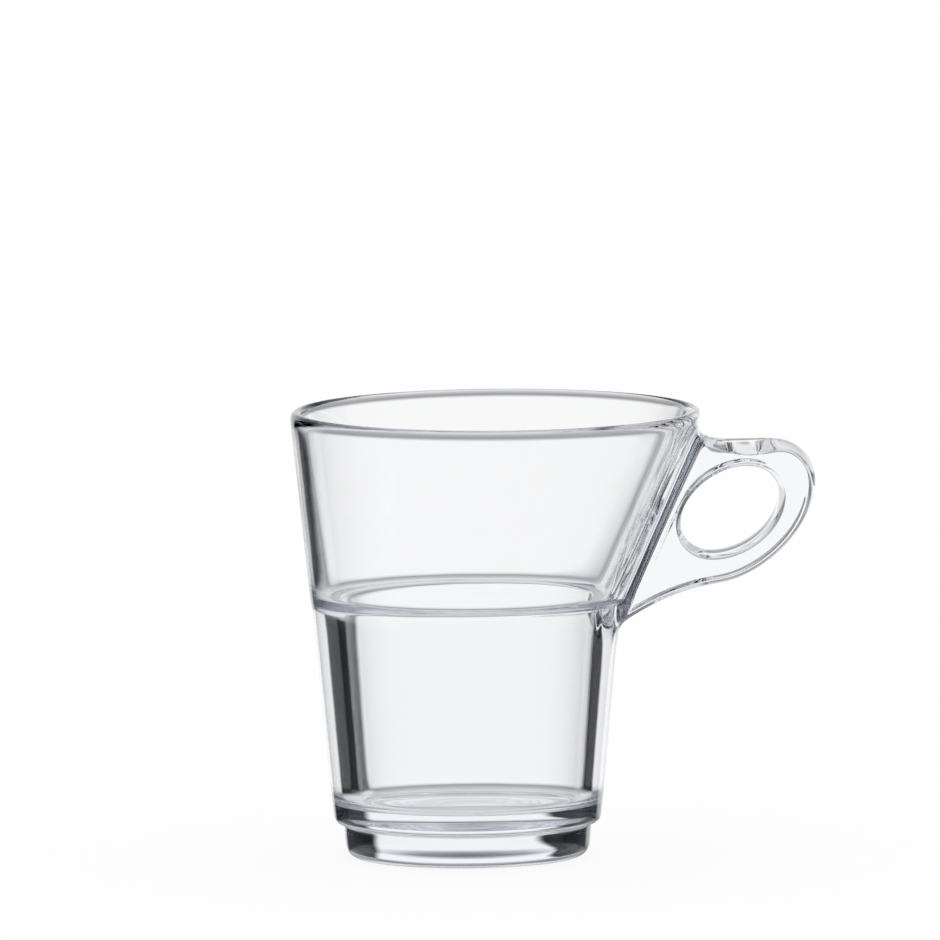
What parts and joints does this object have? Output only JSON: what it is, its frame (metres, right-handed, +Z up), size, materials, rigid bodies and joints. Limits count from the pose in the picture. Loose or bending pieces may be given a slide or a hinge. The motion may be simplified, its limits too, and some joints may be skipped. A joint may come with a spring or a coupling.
{
  "type": "glass coffee cup",
  "caption": "Stacking coffee cup of clear pressed glass with a mouth flared towards a flat ear handle, an inner ledge, a thick lower wall and a solid foot.",
  "frame": {"origin": "centre of the foot's flat underside, on the lower bowl's axis, at the table", "axes": "+Z up along the lower bowl's axis, +X towards the handle, +Y to the cup's back as the picture sees it"},
  "size_m": [0.1064, 0.0832, 0.091],
  "materials": {
    "clear_glass": "clear pressed glass, smooth and glossy, with a faint cool tint in thick places"
  },
  "bodies": {
    "root": {"cup_body": "clear_glass", "handle": "clear_glass"}
  },
  "joints": []
}
